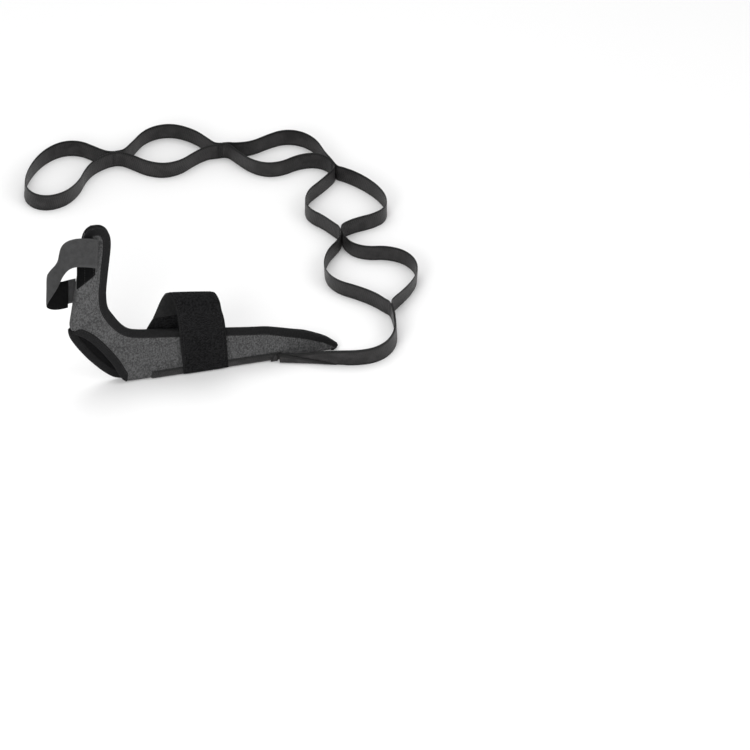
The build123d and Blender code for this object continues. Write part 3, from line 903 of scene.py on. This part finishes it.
# ---- straps ----
def across_rows(keys, cols, spacing, soft=2.0):
    """Rows between a left and a right line given at the same stations."""
    table = np.array([[*left, *right] for left, right in keys])
    middle = (table[:, :3] + table[:, 3:]) / 2
    at = run_lengths(middle)
    count = max(int(at[-1] / spacing), 8)
    even = np.linspace(0, at[-1], count)
    lines = softened(np.stack([np.interp(even, at, table[:, k]) for k in range(6)], 1), soft)
    share = np.linspace(0, 1, cols)
    return lines[:, None, :3] * (1 - share[None, :, None]) + lines[:, None, 3:] * share[None, :, None]


def edge_stitch_line(grid, column):
    """A row of stitches on top of a strap, along one column of its grid."""
    line = grid[2:-3, column]
    normal = np.cross(np.gradient(grid[:, column], axis=0), np.gradient(grid, axis=1)[:, column])[2:-3]
    normal /= np.linalg.norm(normal, axis=1, keepdims=True)
    up = 1.0 if normal[np.argmax(line[:, 2])][2] > 0 else -1.0
    return line + normal * (sizes().strap * 0.56) * up


def build_instep_strap():
    """The wide band over the foot: brushed outside, smooth inside, sewn to the far wall."""
    cols = 15
    stations = [  # Y, Z, left X, right X
        (-0.0100, 0.0025, -0.0210, 0.0430), (-0.0100, 0.030, -0.0235, 0.0415),
        (-0.0100, 0.056, -0.0260, 0.0400), (-0.0115, 0.080, -0.0280, 0.0380),
        (-0.0150, 0.098, -0.0305, 0.0345), (-0.0175, 0.111, -0.0330, 0.0310),
        (-0.0150, 0.1225, -0.0355, 0.0305), (-0.0085, 0.1278, -0.0385, 0.0290),
        (0.0, 0.1292, -0.0400, 0.0280), (0.0085, 0.1268, -0.0410, 0.0255),
        (0.0150, 0.118, -0.0435, 0.0265), (0.0165, 0.108, -0.0485, 0.0230),
        (0.0125, 0.098, -0.0548, 0.0160), (0.0103, 0.0896, -0.0602, 0.0100)]
    keys = []
    for y, z, left, right in stations:
        tilt = 0.17 * np.clip((z - 0.09) / 0.04, 0, 1)
        keys.append(((left, y, z - tilt * (left + 0.005)), (right, y, z - tilt * (right + 0.005))))
    grid = across_rows(keys, cols, 0.0030, 1.6)
    crown = 0.0006 * (1 - np.linspace(-1, 1, cols) ** 2)
    grid[:, :, 2] += crown[None, :] * np.clip((grid[:, :, 2] - 0.1) / 0.03, 0, 1)
    cloths = ("loop_pile", "strap_back")
    strap = thick_band("instep_strap_cloth", grid, sizes().strap, cloths)
    orient(strap, lambda c: c[2] > 0.12, (0, 0, 1))
    settle(strap, "instep_strap", ["instep_strap_band"])

    anchor = [((-0.0597, 0.0102, 0.0905), (0.0100, 0.0102, 0.0905)),
              ((-0.0660, 0.0101, 0.080), (0.0050, 0.0101, 0.080)),
              ((-0.0790, 0.0101, 0.054), (-0.0070, 0.0101, 0.054))]
    piece = thick_band("instep_strap_sewn_end", across_rows(anchor, cols, 0.003, 1.0), sizes().strap, cloths)
    orient(piece, lambda c: c[1] > 0.0102, (0, 1, 0))
    settle(piece, "sole", ["instep_strap_anchor"])
    low_left, low_right = (-0.0730, 0.0117, 0.0575), (-0.0110, 0.0117, 0.0575)
    top_left, top_right = (-0.0655, 0.0117, 0.0720), (-0.0035, 0.0117, 0.0720)
    box = [low_left, low_right, top_right, top_left, low_left, top_right, low_right, top_left]
    ride_stitches("instep_anchor_threads", [resampled(box, 160)], sizes().stitch, 0.0038, "sole",
                  ["instep_anchor_stitching"])
    edges = [edge_stitch_line(grid, column) for column in (1, cols - 2)]
    ride_stitches("instep_edge_threads", edges, 0.0022, 0.0032, "instep_strap", radius=0.00024)


def orient(obj, where, way):
    """Puts the first material on the side that faces the given way, by swapping the two if need be."""
    mesh = obj.data
    total = Vector((0, 0, 0))
    for p in mesh.polygons:
        if p.material_index == 0 and where(p.center):
            total += p.normal * p.area
    if total.dot(Vector(way)) < 0 and len(mesh.materials) > 1:
        index = np.zeros(len(mesh.polygons), np.int32)
        mesh.polygons.foreach_get("material_index", index)
        mesh.polygons.foreach_set("material_index", 1 - index)


def sewn_patch(name, outline, cloth, node):
    """A short flat piece of the ankle band, sewn to the cuff."""
    piece = thick_band(name, across_rows(outline, 11, 0.0022, 1.0), 0.0018, (cloth, cloth))
    settle(piece, "ankle_cuff", [node])


def build_ankle_strap():
    """The smooth band that folds back and sweeps round behind the ankle, with its sewn base and tab."""
    keys = [  # upper edge, lower edge
        ((-0.1450, -0.0119, 0.2530), (-0.1462, -0.0119, 0.2060)),
        ((-0.1443, -0.0140, 0.2545), (-0.1462, -0.0140, 0.2065)),
        ((-0.1455, -0.0175, 0.2575), (-0.1475, -0.0175, 0.2090)),
        ((-0.1548, -0.0205, 0.2635), (-0.1548, -0.0205, 0.2140)),
        ((-0.1674, -0.0235, 0.2685), (-0.1650, -0.0235, 0.2190)),
        ((-0.1833, -0.0270, 0.2725), (-0.1803, -0.0270, 0.2245)),
        ((-0.1957, -0.0290, 0.2715), (-0.1906, -0.0290, 0.2244)),
        ((-0.2029, -0.0285, 0.2640), (-0.1964, -0.0285, 0.2180)),
        ((-0.2049, -0.0270, 0.2525), (-0.2008, -0.0270, 0.2090)),
        ((-0.2056, -0.0250, 0.2400), (-0.2032, -0.0250, 0.1995)),
        ((-0.2085, -0.0230, 0.2305), (-0.2065, -0.0230, 0.1895)),
        ((-0.2155, -0.0200, 0.2207), (-0.2135, -0.0200, 0.1745)),
        ((-0.2195, -0.0160, 0.2105), (-0.2190, -0.0160, 0.1610)),
        ((-0.2181, -0.0110, 0.2000), (-0.2193, -0.0110, 0.1520)),
        ((-0.2090, -0.0070, 0.1926), (-0.2135, -0.0070, 0.1452)),
        ((-0.1988, -0.0020, 0.1850), (-0.2032, -0.0020, 0.1386)),
        ((-0.1920, 0.0015, 0.1825), (-0.1925, 0.0015, 0.1360)),
        ((-0.1840, 0.0036, 0.1810), (-0.1840, 0.0036, 0.1356))]
    grid = across_rows(keys, 13, 0.0020, 2.2)
    strap = thick_band("ankle_strap_cloth", grid, 0.0020, ("strap_band", "band_back"))
    orient(strap, lambda c: c[0] > -0.19 and c[1] < -0.02, (0, -1, 0))
    settle(strap, "ankle_strap", ["ankle_strap_band"])

    base = [((-0.1485, -0.0092, 0.252), (-0.1485, -0.0092, 0.193)),
            ((-0.157, -0.0092, 0.2495), (-0.157, -0.0092, 0.186)),
            ((-0.1665, -0.0092, 0.246), (-0.1665, -0.0092, 0.179)),
            ((-0.1745, -0.0090, 0.214), (-0.1745, -0.0090, 0.173))]
    sewn_patch("ankle_strap_sewn_base", base, "band_back", "ankle_strap_base")
    rows = [[(-0.1510, -0.0104, 0.196), (-0.1510, -0.0104, 0.249)],
            [(-0.1635, -0.0104, 0.184), (-0.1635, -0.0104, 0.244)]]
    ride_stitches("ankle_base_threads", [resampled(r, 30) for r in rows], sizes().stitch, 0.0038,
                  "ankle_cuff", ["ankle_base_stitching"])
    tab = [((-0.1715, 0.0090, 0.179), (-0.1715, 0.0090, 0.139)),
           ((-0.180, 0.0083, 0.179), (-0.180, 0.0083, 0.139)),
           ((-0.1905, 0.0066, 0.179), (-0.1905, 0.0066, 0.139))]
    sewn_patch("ankle_strap_sewn_tab", tab, "strap_band", "ankle_strap_tab")


def build_sole_webbing():
    """The webbing sewn along the fold, up the near wall and under it, with its turned end and stitching."""
    low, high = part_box("sole_webbing")
    section = [(-0.0088, 0.0136), (-0.0088, 0.0105), (-0.0088, 0.0075), (-0.0086, 0.0048), (-0.0076, 0.0024),
               (-0.0058, 0.0011), (-0.0038, 0.0008), (0.0, 0.0008), (0.0040, 0.0008)]
    grid = np.array([[(at, y, z) for y, z in section] for at in np.linspace(low.x, high.x, 70)])
    web = thick_band("sole_web", grid, WEB_THICK, ("webbing", "webbing"), edge=0.5)
    for vertex in web.data.vertices:
        vertex.co.z = max(vertex.co.z, 0.0)
    settle(web, "sole", ["sole_webbing"])
    out, top, foot = -0.0097, 0.0118, 0.0050
    left, right = low.x + 0.003, high.x - 0.004
    rows = [[(left, out, top), (right, out, top)]]
    rows += [[(x, out, top), (x, out, foot)] for x in (left, left + 0.004)]
    ride_stitches("sole_web_threads", [resampled(r, 60) for r in rows], sizes().stitch, 0.0039, "sole",
                  ["sole_webbing_stitching"])
    a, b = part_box("tail_end_fold")
    y = (a.y + b.y) / 2
    flap = []
    for share, height in ((0, 0.0016), (0.3, 0.0080), (0.6, 0.0132), (1.0, 0.0132)):
        x = a.x + (b.x - a.x) * share
        flap.append(((x, y, height), (x, y, 0.0009)))
    end = thick_band("tail_turned_end", across_rows(flap, 7, 0.0008, 0.8), 0.0016, ("webbing", "webbing"))
    settle(end, "sole", ["tail_end_fold"])


def dress_fastener_pads():
    """The hook pads keep their shape and get the finish of moulded hooks."""
    for name in ("instep_strap_hook_pad", "ankle_strap_hook_pad"):
        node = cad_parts[name]
        node.data.materials.clear()
        node.data.materials.append(FINISHES["hook_pad"])


# ---- stage ----
def light(name, place, target, energy, size):
    """A round soft light."""
    data = bpy.data.lights.new(name, "AREA")
    data.energy, data.size, data.shape = energy, size, "DISK"
    lamp = link(bpy.data.objects.new(name, data))
    lamp.location = place
    lamp.rotation_mode = "QUATERNION"
    lamp.rotation_quaternion = (Vector(target) - Vector(place)).to_track_quat("-Z", "Y")


def build_stage():
    """Plain pale floor, soft studio light, and a camera without perspective that looks down on the strap."""
    floor = bpy.data.materials.new("floor")
    floor.use_nodes = True
    t = Tree(floor.node_tree)
    shader = floor.node_tree.nodes["Principled BSDF"]
    place = t.add("ShaderNodeTexCoord").outputs["Object"]
    grain = t.add("ShaderNodeTexNoise", Vector=place, Scale=3.0, Detail=2.0).outputs[0]
    pale = tuple(colours().floor)
    t.put(shader.inputs["Base Color"], t.mix(grain, (*pale, 1), (*[v * 0.985 for v in pale], 1)))
    shader.inputs["Roughness"].default_value = 0.9
    half, level = 14.0, -0.0002
    corners = [(-half, -half, level), (half, -half, level), (half, half, level), (-half, half, level)]
    mesh = bpy.data.meshes.new("floor")
    mesh.from_pydata(corners, [], [(0, 1, 2, 3)])
    mesh.materials.append(floor)
    link(bpy.data.objects.new("floor", mesh))

    towards = Vector(VIEW_TOWARDS).normalized()
    data = bpy.data.cameras.new("camera")
    data.type = "ORTHO"
    data.ortho_scale = VIEW_WIDTH
    data.clip_start, data.clip_end = 0.1, 100
    camera = link(bpy.data.objects.new("camera", data))
    camera.location = Vector(VIEW_CENTRE) + towards * VIEW_DISTANCE
    camera.rotation_mode = "QUATERNION"
    camera.rotation_quaternion = (-towards).to_track_quat("-Z", "Y")
    bpy.context.scene.camera = camera

    light("key", (-0.8, -1.1, 0.9), (-0.1, 0.0, 0.12), 11, 0.7)
    light("fill", (1.6, -1.0, 1.6), (0.1, 0.1, 0.05), 9, 1.4)
    light("top", (0.1, 0.8, 2.2), (0.1, 0.2, 0.0), 14, 1.8)
    world = bpy.data.worlds.new("studio")
    world.use_nodes = True
    world.node_tree.nodes["Background"].inputs[0].default_value = (1, 1, 1, 1)
    world.node_tree.nodes["Background"].inputs[1].default_value = 0.7
    bpy.context.scene.world = world
    bpy.context.scene.view_settings.view_transform = "Standard"


# ---- operators ----
class STRAP_OT_stage(bpy.types.Operator):
    """Make the floor, the lights, the world and the camera"""

    bl_idname = "strap.stage"
    bl_label = "Stage"

    def execute(self, context):
        build_stage()
        return {"FINISHED"}


class STRAP_OT_materials(bpy.types.Operator):
    """Make the cloths, tapes, thread and pad finishes"""

    bl_idname = "strap.materials"
    bl_label = "Cloths and threads"

    def execute(self, context):
        make_materials()
        return {"FINISHED"}


class STRAP_OT_loops(bpy.types.Operator):
    """Make the webbing of the hand loops"""

    bl_idname = "strap.loops"
    bl_label = "Hand loops"

    def execute(self, context):
        build_loops()
        return {"FINISHED"}


class STRAP_OT_tail(bpy.types.Operator):
    """Make the doubled webbing from the sling to the first sewn bar"""

    bl_idname = "strap.tail"
    bl_label = "Tail"

    def execute(self, context):
        build_tail()
        return {"FINISHED"}


class STRAP_OT_bar_tacks(bpy.types.Operator):
    """Make the satin stitches at the sewn bars"""

    bl_idname = "strap.bar_tacks"
    bl_label = "Bar tacks"

    def execute(self, context):
        build_bar_tacks()
        return {"FINISHED"}


class STRAP_OT_sling(bpy.types.Operator):
    """Make the folded laminate of the foot sling"""

    bl_idname = "strap.sling"
    bl_label = "Foot sling"

    def execute(self, context):
        build_sling()
        return {"FINISHED"}


class STRAP_OT_binding(bpy.types.Operator):
    """Make the tapes round the edges of the sling, and their stitches"""

    bl_idname = "strap.binding"
    bl_label = "Binding"

    def execute(self, context):
        build_binding()
        return {"FINISHED"}


class STRAP_OT_sole_webbing(bpy.types.Operator):
    """Make the webbing sewn along the fold under the foot"""

    bl_idname = "strap.sole_webbing"
    bl_label = "Sole webbing"

    def execute(self, context):
        build_sole_webbing()
        return {"FINISHED"}


class STRAP_OT_instep_strap(bpy.types.Operator):
    """Make the strap over the instep, its sewn end and its stitches"""

    bl_idname = "strap.instep_strap"
    bl_label = "Instep strap"

    def execute(self, context):
        build_instep_strap()
        return {"FINISHED"}


class STRAP_OT_ankle_strap(bpy.types.Operator):
    """Make the strap behind the ankle, its sewn base, tab and stitches"""

    bl_idname = "strap.ankle_strap"
    bl_label = "Ankle strap"

    def execute(self, context):
        build_ankle_strap()
        return {"FINISHED"}


class STRAP_OT_fasteners(bpy.types.Operator):
    """Give the hook pads their finish"""

    bl_idname = "strap.fasteners"
    bl_label = "Hook pads"

    def execute(self, context):
        dress_fastener_pads()
        return {"FINISHED"}


OPERATORS = (STRAP_OT_stage, STRAP_OT_materials, STRAP_OT_loops, STRAP_OT_tail, STRAP_OT_bar_tacks,
             STRAP_OT_sling, STRAP_OT_binding, STRAP_OT_sole_webbing, STRAP_OT_instep_strap,
             STRAP_OT_ankle_strap, STRAP_OT_fasteners)


class STRAP_PT_panel(bpy.types.Panel):
    """Lists the pieces and their settings"""

    bl_idname = "STRAP_PT_panel"
    bl_label = "Stretching strap"
    bl_space_type = "VIEW_3D"
    bl_region_type = "UI"
    bl_category = "Stretching strap"

    def draw(self, context):
        for settings in (context.scene.strap_sizes, context.scene.strap_colours):
            for key in settings.bl_rna.properties.keys():
                if key not in ("rna_type", "name"):
                    self.layout.prop(settings, key)
        for made in OPERATORS:
            self.layout.operator(made.bl_idname)


CLASSES = (SizeSettings, ColourSettings, *OPERATORS, STRAP_PT_panel)


def register():
    """Add the settings, operators and panel."""
    for made in CLASSES:
        bpy.utils.register_class(made)
    bpy.types.Scene.strap_sizes = bpy.props.PointerProperty(type=SizeSettings)
    bpy.types.Scene.strap_colours = bpy.props.PointerProperty(type=ColourSettings)


def unregister():
    """Take them away again."""
    del bpy.types.Scene.strap_sizes
    del bpy.types.Scene.strap_colours
    for made in reversed(CLASSES):
        bpy.utils.unregister_class(made)


def main():
    """Build every piece in turn."""
    register()
    bpy.ops.strap.stage()
    bpy.ops.strap.materials()
    bpy.ops.strap.loops()
    bpy.ops.strap.tail()
    bpy.ops.strap.bar_tacks()
    bpy.ops.strap.sling()
    bpy.ops.strap.binding()
    bpy.ops.strap.sole_webbing()
    bpy.ops.strap.instep_strap()
    bpy.ops.strap.ankle_strap()
    bpy.ops.strap.fasteners()


if __name__ == "__main__":
    main()
